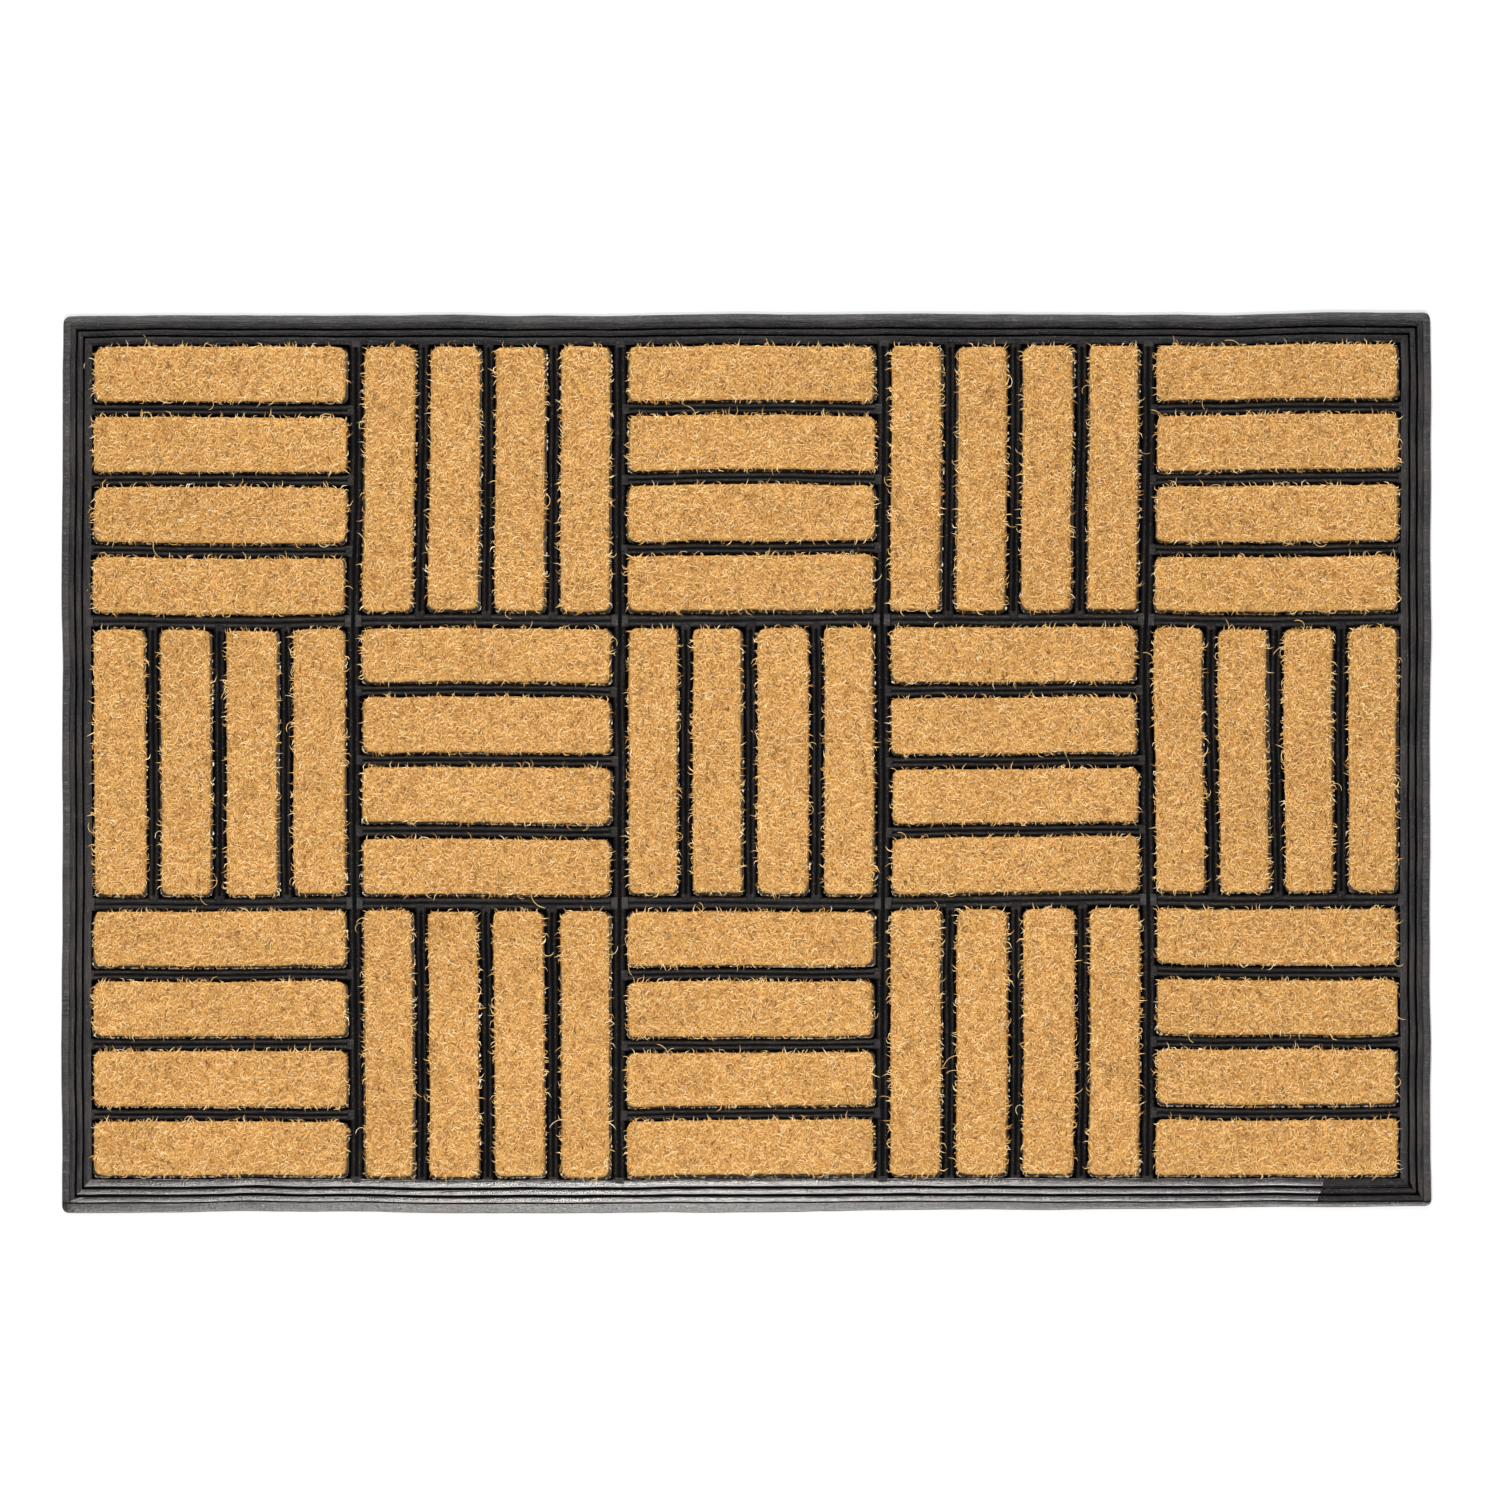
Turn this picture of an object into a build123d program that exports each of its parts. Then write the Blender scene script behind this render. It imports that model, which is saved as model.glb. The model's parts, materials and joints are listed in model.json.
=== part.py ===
from build123d import *
import os

# Door mat of coir strips set in a moulded rubber tray.
# The mat lies flat. +X runs along its long side, +Y runs away from the person who steps on it,
# +Z is up. The origin is the middle of the underside. All sizes are in millimetres.

# Overall size and pattern. The long dividers are evenly spaced, but as a group they stand
# pattern_shift to the right of the middle, so the first column is longer than the last.
mat_length = 600.0
mat_width = 393.0
columns = 5
rows = 3
strips_per_cell = 4
pattern_shift = 2.4

# Backing sheet, with its outer lip and the grip grooves in its underside
sheet_thickness = 2.5
sheet_corner_radius = 3.0
sheet_edge_round = 0.6
lip_width = 3.3
grip_groove_width = 2.0
grip_groove_depth = 0.6
grip_groove_pitch = 6.0
grip_margin = 15.0

# Border ramp: treads that climb from the lip to the crest
tread_count = 3
tread_width = 3.25
riser_height = 1.7
tread_slope_rise = 0.35
tread_groove_width = 0.6
tread_groove_depth = 0.6
nosing_radius = 0.5

# Scarf joint in the front ramp, measured from the right-hand edge of the mat
scarf_from_edge = 47.5
scarf_skew = 3.4

# Rubber dividers and short ribs, each with two rounded beads along its top
divider_width = 5.3
short_rib_width = 4.6
rib_height = 4.8
bead_overlap = 0.15

# Coir strips: a primary backing that holds the fibres, and the pile that stands on it
coir_gap = 1.3
backing_overhang = 0.6
backing_thickness = 1.5
pile_height = 7.0
strip_corner_radius = 3.5
pile_edge_bevel = 1.2

# Sizes that follow from the ones above
ramp_width = tread_count * tread_width
border_width = lip_width + ramp_width
crest_height = sheet_thickness + tread_count * riser_height
rib_top = sheet_thickness + rib_height
field_length = mat_length - 2 * border_width
field_width = mat_width - 2 * border_width
column_pitch = (field_length + divider_width) / columns
row_pitch = (field_width + divider_width) / rows
cell_width = row_pitch - divider_width
backing_gap = coir_gap - backing_overhang
short_ribs_per_cell = strips_per_cell - 1

UP = (0, 0, 1)


def backing_sheet():
    """Full-size rubber sheet. Its edge outside the ramp is the thin outer lip."""
    outline = RectangleRounded(mat_length, mat_width, sheet_corner_radius)
    sheet = extrude(outline, amount=sheet_thickness)
    top_edges = sheet.faces().sort_by(Axis.Z)[-1].edges()
    sheet = fillet(top_edges, sheet_edge_round)
    return sheet - grip_grooves()


def grip_grooves():
    """Straight grooves across the underside, laid out evenly each side of the middle land."""
    groove_length = mat_width - 2 * grip_margin
    per_half = int((mat_length / 2 - grip_margin) / grip_groove_pitch)
    groove = Pos(0, 0, grip_groove_depth / 2) * Box(grip_groove_width, groove_length, grip_groove_depth)
    grooves = []
    for index in range(per_half):
        x = (index + 0.5) * grip_groove_pitch
        grooves.append(Pos(x, 0, 0) * groove)
        grooves.append(Pos(-x, 0, 0) * groove)
    return grooves


def ramp_section():
    """Cross-section of the ramp: x is the distance in from the mat's edge, y is the height."""
    points = [(lip_width, sheet_thickness)]
    nosings = []
    for tread in range(tread_count):
        start = lip_width + tread * tread_width
        end = start + tread_width
        top = sheet_thickness + (tread + 1) * riser_height
        nosing = (start, top - tread_slope_rise)
        nosings.append(nosing)
        points.append(nosing)
        if tread < tread_count - 1:
            points.append((end - tread_groove_width, top))
            points.append((end - tread_groove_width, top - tread_groove_depth))
            points.append((end, top - tread_groove_depth))
        else:
            points.append((end, top))
    points.append((border_width, sheet_thickness))
    section = make_face(Polyline(*points, close=True))
    for nosing in nosings:
        corner = section.vertices().sort_by_distance((nosing[0], nosing[1], 0))[0]
        section = fillet(corner, nosing_radius)
    return section


def ramp_piece(corner, run, inward, side_length, plan):
    """One length of ramp. plan is its outline as (distance along the side, distance in)."""
    section = Plane(origin=corner, x_dir=inward, z_dir=run) * ramp_section()
    whole_side = extrude(section, amount=side_length)
    outline = Plane(origin=corner, x_dir=run, z_dir=UP) * Polygon(*plan, align=None)
    return whole_side & extrude(outline, amount=crest_height + riser_height)


def mitred_plan(side_length):
    """Plan of a side with both of its ends cut on the mat's corner diagonals."""
    return [
        (0, 0),
        (side_length, 0),
        (side_length - border_width, border_width),
        (border_width, border_width),
    ]


def scarf_line():
    """The two ends of the scarf cut, at the mat's edge and at the inner wall of the ramp."""
    middle = mat_length - scarf_from_edge
    lean = scarf_skew / ramp_width
    at_edge = middle - lean * (lip_width + ramp_width / 2)
    at_wall = middle + lean * ramp_width / 2
    return (at_edge, 0), (at_wall, border_width)


def ramp_pieces():
    """The ramp is laid in five straight lengths that meet face to face."""
    half_length = mat_length / 2
    half_width = mat_width / 2
    at_edge, at_wall = scarf_line()
    front_plan = [(0, 0), at_edge, at_wall, (border_width, border_width)]
    filler_plan = [at_edge, (mat_length, 0), (mat_length - border_width, border_width), at_wall]
    back_right = (half_length, half_width, 0)
    back_left = (-half_length, half_width, 0)
    front_left = (-half_length, -half_width, 0)
    front_right = (half_length, -half_width, 0)
    left = (-1, 0, 0)
    right = (1, 0, 0)
    away = (0, 1, 0)
    near = (0, -1, 0)
    return {
        "border_back": ramp_piece(back_right, left, near, mat_length, mitred_plan(mat_length)),
        "border_left": ramp_piece(back_left, near, right, mat_width, mitred_plan(mat_width)),
        "border_front": ramp_piece(front_left, right, away, mat_length, front_plan),
        "border_front_filler": ramp_piece(front_left, right, away, mat_length, filler_plan),
        "border_right": ramp_piece(front_right, away, left, mat_width, mitred_plan(mat_width)),
    }


def rib(width, length):
    """A rib along X, centred on the origin in plan, standing on the backing sheet."""
    bead_radius = (width / 2 + bead_overlap) / 2
    bead_offset = width / 2 - bead_radius
    shoulder = rib_top - bead_radius
    wall = Pos(0, (sheet_thickness + shoulder) / 2) * Rectangle(width, shoulder - sheet_thickness)
    beads = Pos(-bead_offset, shoulder) * Circle(bead_radius)
    beads += Pos(bead_offset, shoulder) * Circle(bead_radius)
    section = Plane(origin=(-length / 2, 0, 0), x_dir=(0, 1, 0), z_dir=(1, 0, 0)) * (wall + beads)
    return extrude(section, amount=length)


def divider_x(column):
    """Middle line of the long divider on the right of a column. Column 0 is at the left."""
    return (column + 1 - columns / 2) * column_pitch + pattern_shift


def divider_y(row):
    """Middle line of the cross divider in front of a row. Row 0 is at the back of the mat."""
    return (rows / 2 - row - 1) * row_pitch


def column_span(column):
    """Left and right ends of the pockets in a column, between two dividers or a divider and the ramp."""
    left = -field_length / 2
    right = field_length / 2
    if column > 0:
        left = divider_x(column - 1) + divider_width / 2
    if column < columns - 1:
        right = divider_x(column) - divider_width / 2
    return left, right


def cell_length(column):
    """Size of a column's cells along X."""
    left, right = column_span(column)
    return right - left


def cell_center(row, column):
    """Middle of a cell."""
    x = sum(column_span(column)) / 2
    y = divider_y(row) + row_pitch / 2
    return x, y


def long_divider(column):
    """Rib that runs from the back ramp to the front ramp in one length."""
    upright = Rot(0, 0, 90) * rib(divider_width, field_width)
    return Pos(divider_x(column), 0, 0) * upright


def cross_divider(row):
    """Ribs that close the cells of one row, one for each column, butted to the long dividers."""
    pieces = []
    for column in range(columns):
        x = cell_center(row, column)[0]
        piece = rib(divider_width, cell_length(column))
        pieces.append(Pos(x, divider_y(row), 0) * piece)
    return pieces


def strips_run_along_x(row, column):
    """Neighbouring cells have their strips at right angles, as in a basket weave."""
    return (row + column) % 2 == 0


def across_cell(row, column):
    """Length of the pockets in a cell, and the width of one pocket."""
    along, across = cell_length(column), cell_width
    if not strips_run_along_x(row, column):
        along, across = across, along
    pocket_width = (across - short_ribs_per_cell * short_rib_width) / strips_per_cell
    return along, pocket_width


def place_in_cell(row, column, piece, offsets):
    """Copies of a piece drawn along X, set side by side across the cell at the given offsets."""
    x, y = cell_center(row, column)
    turn = 0 if strips_run_along_x(row, column) else 90
    return [Pos(x, y, 0) * Rot(0, 0, turn) * Pos(0, offset, 0) * piece for offset in offsets]


def short_ribs(row, column):
    """The ribs between the strips of one cell."""
    length, pocket_width = across_cell(row, column)
    pitch = pocket_width + short_rib_width
    offsets = [(index - (short_ribs_per_cell - 1) / 2) * pitch for index in range(short_ribs_per_cell)]
    return place_in_cell(row, column, rib(short_rib_width, length), offsets)


def strip_offsets(row, column):
    """Distances of the four strips from the middle of their cell."""
    pitch = across_cell(row, column)[1] + short_rib_width
    return [(index - (strips_per_cell - 1) / 2) * pitch for index in range(strips_per_cell)]


def pile_backings(row, column):
    """Thin backings of one cell's strips, bonded to the sheet and a little wider than the pile."""
    length, pocket_width = across_cell(row, column)
    outline = RectangleRounded(
        length - 2 * backing_gap,
        pocket_width - 2 * backing_gap,
        strip_corner_radius + backing_overhang,
    )
    backing = Pos(0, 0, sheet_thickness) * extrude(outline, amount=backing_thickness)
    return place_in_cell(row, column, backing, strip_offsets(row, column))


def coir_piles(row, column):
    """Brush-cut pile of one cell's strips, with its worn top edge bevelled."""
    length, pocket_width = across_cell(row, column)
    outline = RectangleRounded(
        length - 2 * coir_gap,
        pocket_width - 2 * coir_gap,
        strip_corner_radius,
    )
    pile = extrude(outline, amount=pile_height)
    top_edges = pile.faces().sort_by(Axis.Z)[-1].edges()
    pile = chamfer(top_edges, pile_edge_bevel)
    pile = Pos(0, 0, sheet_thickness + backing_thickness) * pile
    return place_in_cell(row, column, pile, strip_offsets(row, column))


def all_nodes():
    """Every sub-part of the mat by name, each as one solid or a list of separate solids."""
    nodes = {"backing_sheet": backing_sheet()}
    nodes.update(ramp_pieces())
    for column in range(columns - 1):
        nodes[f"long_divider_{column + 1}"] = long_divider(column)
    for row in range(rows - 1):
        nodes[f"cross_divider_{row + 1}"] = cross_divider(row)
    for row in range(rows):
        for column in range(columns):
            cell = f"row{row + 1}_col{column + 1}"
            nodes[f"short_ribs_{cell}"] = short_ribs(row, column)
            nodes[f"pile_backings_{cell}"] = pile_backings(row, column)
            nodes[f"coir_piles_{cell}"] = coir_piles(row, column)
    return nodes


def write_node(name, shape):
    """Write one sub-part. Several solids go out together as one compound."""
    pieces = shape if isinstance(shape, list) else [shape]
    solids = [solid for piece in pieces for solid in piece.solids()]
    export_step(solids[0] if len(solids) == 1 else Compound(children=solids), f"parts/{name}.step")


os.makedirs("parts", exist_ok=True)
for node_name, node_shape in all_nodes().items():
    write_node(node_name, node_shape)
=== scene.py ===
# %% [markdown]
# # A coir door mat in a moulded rubber tray
# The real mat is a sheet of black rubber with a stepped border round it, ribs that divide it into pockets,
# and a strip of coir, the fibre of coconut husks, bonded into each pocket.
#
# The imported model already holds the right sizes, so the lesson starts by loading it and measuring it.
# Everything that follows takes its place from those measures, and only the finish is made here.

# %% Load the frame
import json
import math
import random

import bmesh
import bpy
from mathutils import Euler, Matrix, Vector

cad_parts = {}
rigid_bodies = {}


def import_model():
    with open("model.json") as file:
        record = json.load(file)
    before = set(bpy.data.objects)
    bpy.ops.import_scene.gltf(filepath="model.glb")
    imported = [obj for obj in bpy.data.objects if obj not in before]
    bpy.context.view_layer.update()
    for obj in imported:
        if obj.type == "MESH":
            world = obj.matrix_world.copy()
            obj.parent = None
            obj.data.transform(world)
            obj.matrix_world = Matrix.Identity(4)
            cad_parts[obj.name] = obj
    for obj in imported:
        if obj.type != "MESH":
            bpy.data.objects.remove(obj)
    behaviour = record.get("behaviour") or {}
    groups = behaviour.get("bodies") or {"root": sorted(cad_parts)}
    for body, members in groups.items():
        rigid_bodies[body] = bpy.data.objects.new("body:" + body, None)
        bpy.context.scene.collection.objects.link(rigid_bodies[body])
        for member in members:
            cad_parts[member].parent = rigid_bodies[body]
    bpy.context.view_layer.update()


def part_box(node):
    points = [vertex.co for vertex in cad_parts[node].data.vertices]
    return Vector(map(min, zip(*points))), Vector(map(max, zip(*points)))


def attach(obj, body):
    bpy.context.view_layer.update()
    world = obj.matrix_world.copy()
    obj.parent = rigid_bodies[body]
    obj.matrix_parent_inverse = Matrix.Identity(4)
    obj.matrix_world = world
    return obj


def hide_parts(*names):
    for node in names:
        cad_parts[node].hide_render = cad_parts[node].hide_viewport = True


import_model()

# %% [markdown]
# ## Sizes
# Blender works in metres here and the mat is thought of in millimetres, so one constant turns one into
# the other. What a later step needs to know about a pocket, such as the gap between coir and rib, is
# worked out from the boxes of the nodes. A change to the model then carries through to this file.

# %% Measure the parts
MM = 0.001
ROWS = 3
COLUMNS = 5
STRIPS = 4
SHORT_RIBS = STRIPS - 1

sheet_low, sheet_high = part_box("backing_sheet")
back_low, back_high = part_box("border_back")
divider_low, divider_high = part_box("long_divider_1")

sheet_top = sheet_high.z
crest = back_high.z
rib_top = divider_high.z
ramp_outer = Vector((back_high.x, back_high.y))
ramp_width = back_high.y - back_low.y
divider_width = divider_high.x - divider_low.x
print("crest", round(crest / MM, 2), "rib top", round(rib_top / MM, 2), "ramp width", round(ramp_width / MM, 2))


# %% Describe one cell
def strips_run_along_x(row, column):
    """Neighbouring cells have their strips at right angles, as in a basket weave."""
    return (row + column) % 2 == 0


def cell_name(row, column):
    """The ending that the nodes of one cell share."""
    return f"row{row + 1}_col{column + 1}"


def measure_cell(row, column):
    """Long axis, short axis and the sizes across one cell, read from the boxes of its nodes."""
    along = 0 if strips_run_along_x(row, column) else 1
    across = 1 - along
    rib_low, rib_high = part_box("short_ribs_" + cell_name(row, column))
    coir_low, coir_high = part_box("coir_piles_" + cell_name(row, column))
    gap = coir_low[along] - rib_low[along]
    rib_span = rib_high[across] - rib_low[across]
    coir_span = coir_high[across] - coir_low[across]
    strip_width = (coir_span - rib_span - 2 * gap) / 2
    rib_width = (rib_span - 4 * gap - 2 * strip_width) / 3
    return {
        "along": along,
        "across": across,
        "gap": gap,
        "strip_width": strip_width,
        "rib_width": rib_width,
        "pitch": strip_width + 2 * gap + rib_width,
        "rib_low": rib_low,
        "rib_high": rib_high,
        "coir_low": coir_low,
        "coir_high": coir_high,
    }


cells = {(row, column): measure_cell(row, column) for row in range(ROWS) for column in range(COLUMNS)}
for size in ("gap", "strip_width", "rib_width", "pitch"):
    print(size, round(cells[0, 0][size] / MM, 2), "mm")

# %% [markdown]
# ## Small helpers
# Blender's operators work on whatever is selected, so every step starts by clearing the selection and then
# picks its own objects. Inside edit mode, faces and edges are picked by a test on their place or normal,
# which is the same as clicking them, but can be read and repeated.


# %% Selecting and editing
def select_only(*objects):
    """Select these objects and nothing else. The last one is active."""
    if bpy.context.object and bpy.context.object.mode != "OBJECT":
        bpy.ops.object.mode_set(mode="OBJECT")
    bpy.ops.object.select_all(action="DESELECT")
    for item in objects:
        item.select_set(True)
        bpy.context.view_layer.objects.active = item


def edit(piece):
    """Open a piece in edit mode with nothing selected."""
    select_only(piece)
    bpy.ops.object.mode_set(mode="EDIT")
    bpy.ops.mesh.select_all(action="DESELECT")


def close_edit():
    """Back to object mode."""
    bpy.ops.object.mode_set(mode="OBJECT")


def pick_faces(piece, test):
    """Select the faces whose centre and normal pass a test."""
    bpy.ops.mesh.select_mode(type="FACE")
    mesh = bmesh.from_edit_mesh(piece.data)
    for face in mesh.faces:
        face.select_set(test(face.calc_center_median(), face.normal))
    bmesh.update_edit_mesh(piece.data)


def pick_edges(piece, test):
    """Select the edges whose two ends pass a test."""
    bpy.ops.mesh.select_mode(type="EDGE")
    mesh = bmesh.from_edit_mesh(piece.data)
    for face in mesh.faces:
        face.select_set(False)
    for line in mesh.edges:
        line.select_set(test(line.verts[0].co, line.verts[1].co))
    bmesh.update_edit_mesh(piece.data)


def add_block(name, low, high):
    """A cube primitive stretched between two corners, with its place in its mesh."""
    select_only()
    low = Vector(low)
    high = Vector(high)
    bpy.ops.mesh.primitive_cube_add(size=1, location=(low + high) / 2, scale=high - low)
    bpy.ops.object.transform_apply(location=True, rotation=True, scale=True)
    block = bpy.context.object
    block.name = name
    return block


def copy_piece(piece, name):
    """A copy with its own mesh."""
    copy = piece.copy()
    copy.data = piece.data.copy()
    copy.name = name
    bpy.context.scene.collection.objects.link(copy)
    return copy


def join(pieces, name):
    """Several objects made into one."""
    select_only(*pieces)
    if len(pieces) > 1:
        bpy.ops.object.join()
    joined = bpy.context.object
    joined.name = name
    joined.data.name = name
    return joined


def apply_modifiers(piece):
    """Make every modifier of a piece part of its mesh."""
    select_only(piece)
    for modifier in list(piece.modifiers):
        bpy.ops.object.modifier_apply(modifier=modifier.name)


def is_near(value, target, reach=0.02 * MM):
    """True when two lengths are the same for practical purposes."""
    return abs(value - target) < reach


def triangles(piece):
    """Number of triangles a mesh comes to."""
    return sum(len(face.vertices) - 2 for face in piece.data.polygons)


# %% [markdown]
# ## Why nothing on the mat is quite straight
# Hot rubber creeps as it is pressed, so the borders waver, the ribs bow and the strips sit a little askew.
# Moving each piece by hand would open gaps between neighbours. One soft noise that pushes every point of
# the mat sideways keeps them together: each piece reads the same noise at the same place.


# %% The creep of the pressed rubber
def cloud_texture(name, size, depth=1):
    """Soft noise with lumps of about the given size."""
    texture = bpy.data.textures.new(name, "CLOUDS")
    texture.noise_scale = size
    texture.noise_depth = depth
    return texture


creep_x = cloud_texture("creep_x", 110 * MM)
creep_y = cloud_texture("creep_y", 95 * MM)
waver = cloud_texture("waver", 24 * MM)
dents = cloud_texture("dents", 7 * MM, depth=2)


def push(piece, texture, amount, direction):
    """Move the points of a piece by a noise, along one axis or along the normal."""
    modifier = piece.modifiers.new(texture.name, "DISPLACE")
    modifier.texture = texture
    modifier.texture_coords = "LOCAL"
    modifier.direction = direction
    modifier.strength = amount
    modifier.mid_level = 0.5


def let_creep(piece, dent_depth=0.12 * MM):
    """The sideways creep that all pieces share, and small dents of the piece's own surface."""
    push(piece, creep_x, 2.6 * MM, "X")
    push(piece, creep_y, 2.6 * MM, "Y")
    push(piece, waver, 0.7 * MM, "X")
    push(piece, waver, 0.7 * MM, "Y")
    if dent_depth:
        push(piece, dents, dent_depth, "NORMAL")
    apply_modifiers(piece)


# %% [markdown]
# ## Rubber
# Pressed rubber is never plain black. Dust from the mould dulls it in patches, rubbed places shine,
# and the surface is finely pitted. The ribs also get painted shade in their grooves and a painted glint
# on their raised knuckles. One function builds that finish, and each part gets its own amounts. The noises read Object
# coordinates, which are the mat's own, so the pattern stays put.


# %% Material helpers
def new_material(name):
    """An empty material with one Principled shader, and the node tree to add to."""
    material = bpy.data.materials.new(name)
    material.use_nodes = True
    tree = material.node_tree
    shader = tree.nodes["Principled BSDF"]
    return material, tree, shader


def add_node(tree, kind, values=None, **settings):
    """A node with its settings and the values of its unlinked sockets."""
    node = tree.nodes.new(kind)
    for name, value in settings.items():
        setattr(node, name, value)
    for name, value in (values or {}).items():
        node.inputs[name].default_value = value
    return node


def add_noise(tree, place, size, detail=3.0, roughness=0.55):
    """Noise with features of about the given size, in metres."""
    values = {"Scale": 1 / size, "Detail": detail, "Roughness": roughness}
    noise = add_node(tree, "ShaderNodeTexNoise", values)
    tree.links.new(place, noise.inputs["Vector"])
    return noise.outputs["Fac"]


def add_strokes(tree, place, axis, length, width):
    """Noise drawn out along one axis, like the marks that a mould or a roller leaves."""
    size = [width, width, width]
    size[axis] = length
    stretch = add_node(tree, "ShaderNodeMapping", {"Scale": [1 / side for side in size]})
    tree.links.new(place, stretch.inputs["Vector"])
    noise = add_node(tree, "ShaderNodeTexNoise", {"Scale": 1.0, "Detail": 3.0, "Roughness": 0.6})
    tree.links.new(stretch.outputs["Vector"], noise.inputs["Vector"])
    return noise.outputs["Fac"]


def add_range(tree, value, start, end, new_start, new_end):
    """Stretch part of a value's range to a new range."""
    values = {"From Min": start, "From Max": end, "To Min": new_start, "To Max": new_end}
    stretch = add_node(tree, "ShaderNodeMapRange", values)
    tree.links.new(value, stretch.inputs["Value"])
    return stretch.outputs["Result"]


def add_colour_ramp(tree, value, stops):
    """Colours along a value. Each stop is a place from 0 to 1 and a linear colour."""
    ramp = add_node(tree, "ShaderNodeValToRGB")
    elements = ramp.color_ramp.elements
    while len(elements) < len(stops):
        elements.new(0.5)
    for element, (place, colour) in zip(elements, stops):
        element.position = place
        element.color = (*colour, 1)
    tree.links.new(value, ramp.inputs["Fac"])
    return ramp.outputs["Color"]


def add_mix(tree, share, first, second, blend="MIX"):
    """Mix two colours. The share and the second colour may be plain values."""
    mix = add_node(tree, "ShaderNodeMix", data_type="RGBA", blend_type=blend)
    sockets = {"Factor": mix.inputs[0], "A": mix.inputs[6], "B": mix.inputs[7]}
    for name, value in (("Factor", share), ("A", first), ("B", second)):
        if isinstance(value, bpy.types.NodeSocket):
            tree.links.new(value, sockets[name])
        elif isinstance(value, tuple):
            sockets[name].default_value = (*value, 1)
        else:
            sockets[name].default_value = value
    return mix.outputs[2]


def add_bump(tree, shader, heights):
    """Chain bumps into a shader. Each height is a value and its depth in metres."""
    normal = None
    for height, depth in heights:
        bump = add_node(tree, "ShaderNodeBump", {"Strength": 1.0, "Distance": depth})
        tree.links.new(height, bump.inputs["Height"])
        if normal:
            tree.links.new(normal, bump.inputs["Normal"])
        normal = bump.outputs["Normal"]
    tree.links.new(normal, shader.inputs["Normal"])


# %% Rubber finishes
SOOT = (0.0016, 0.0015, 0.0016)
COAL = (0.004, 0.004, 0.0045)
SLATE = (0.012, 0.0105, 0.012)
GREY = (0.022, 0.0190, 0.0215)
LINT = (0.130, 0.110, 0.100)
DUST = (0.060, 0.050, 0.043)
# A painted glint for the raised ends of the ribs, where they catch the light.
PAINTED_GLINT = (0.110, 0.105, 0.105)


def add_rib_painted_light(tree, place):
    """Two shares by height: painted shade from 0 in the groove to 1 on the beads, and a painted glint on the raised
    knuckles.
    """
    split = add_node(tree, "ShaderNodeSeparateXYZ")
    tree.links.new(place, split.inputs[0])
    height = split.outputs["Z"]
    bead = add_range(tree, height, rib_top - 1.3 * MM, rib_top - 0.35 * MM, 0.0, 1.0)
    knuckle = add_range(tree, height, rib_top + 0.10 * MM, rib_top + 0.4 * MM, 0.0, 0.16)
    return bead, knuckle


def make_rubber(name, axis, worn, dust_share, gloss, depths, specular=0.5, by_height=False):
    """Black pressed rubber: streaked along its length, dusty in patches, pitted, and glossier where rubbed."""
    material, tree, shader = new_material(name)
    place = add_node(tree, "ShaderNodeTexCoord").outputs["Object"]
    patches = add_noise(tree, place, 22 * MM, detail=4)
    grain = add_noise(tree, place, 1.5 * MM, detail=5, roughness=0.75)
    pits = add_noise(tree, place, 0.8 * MM, detail=2)
    strokes = add_strokes(tree, place, axis, 12 * MM, 0.7 * MM)
    wear = add_mix(tree, 0.5, grain, strokes)
    bright = tuple(5 * channel for channel in worn)
    colour = add_colour_ramp(tree, wear, [(0.44, SOOT), (0.57, worn), (0.68, bright)])
    specks = add_range(tree, pits, 0.62, 0.72, 0.0, 0.5)
    colour = add_mix(tree, specks, colour, LINT)
    dusty = add_range(tree, patches, 0.42, 0.68, 0.0, dust_share)
    colour = add_mix(tree, dusty, colour, DUST)
    if by_height:
        # Ribs only: painted shade darkens the groove and the shoulders towards soot, and a painted glint lightens the
        # raised knuckles.
        bead, knuckle = add_rib_painted_light(tree, place)
        colour = add_mix(tree, bead, SOOT, colour)
        colour = add_mix(tree, knuckle, colour, PAINTED_GLINT)
    tree.links.new(colour, shader.inputs["Base Color"])
    tree.links.new(add_range(tree, grain, 0.3, 0.7, gloss[1], gloss[0]), shader.inputs["Roughness"])
    shader.inputs["Specular IOR Level"].default_value = specular
    add_bump(tree, shader, zip((grain, pits, strokes), depths))
    return material


def make_painted_shade_rubber():
    """Painted shade: near-black, dull rubber for the grooves, risers, rib walls and the sheet between the parts, where
    shade falls.
    """
    material, tree, shader = new_material("painted_shade_rubber")
    place = add_node(tree, "ShaderNodeTexCoord").outputs["Object"]
    grain = add_noise(tree, place, 1.5 * MM, detail=4)
    colour = add_colour_ramp(tree, grain, [(0.4, SOOT), (0.75, COAL)])
    tree.links.new(colour, shader.inputs["Base Color"])
    tree.links.new(add_range(tree, grain, 0.3, 0.7, 0.7, 0.9), shader.inputs["Roughness"])
    shader.inputs["Specular IOR Level"].default_value = 0.0
    add_bump(tree, shader, [(grain, 0.2 * MM)])
    return material


FINE = (0.08 * MM, 0.10 * MM, 0.12 * MM)
COARSE = (0.20 * MM, 0.14 * MM, 0.26 * MM)
front_rubber = make_rubber("front_rubber", 0, SLATE, 0.1, (0.12, 0.24), FINE, specular=1.0)
filler_rubber = make_rubber("filler_rubber", 0, (0.009, 0.008, 0.009), 0.1, (0.4, 0.6), COARSE, specular=0.15)
back_rubber = make_rubber("back_rubber", 0, (0.009, 0.008, 0.009), 0.12, (0.22, 0.36), COARSE, specular=0.1)
side_rubber = make_rubber("side_rubber", 1, SLATE, 0.3, (0.25, 0.4), COARSE, specular=0.4)
painted_shade_rubber = make_painted_shade_rubber()
lip_rubber = make_rubber("lip_rubber", 0, SLATE, 0.2, (0.16, 0.30), FINE, specular=0.6)
sheet_rubber = make_rubber("sheet_rubber", 0, GREY, 0.35, (0.34, 0.55), COARSE, specular=0.4)
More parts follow.
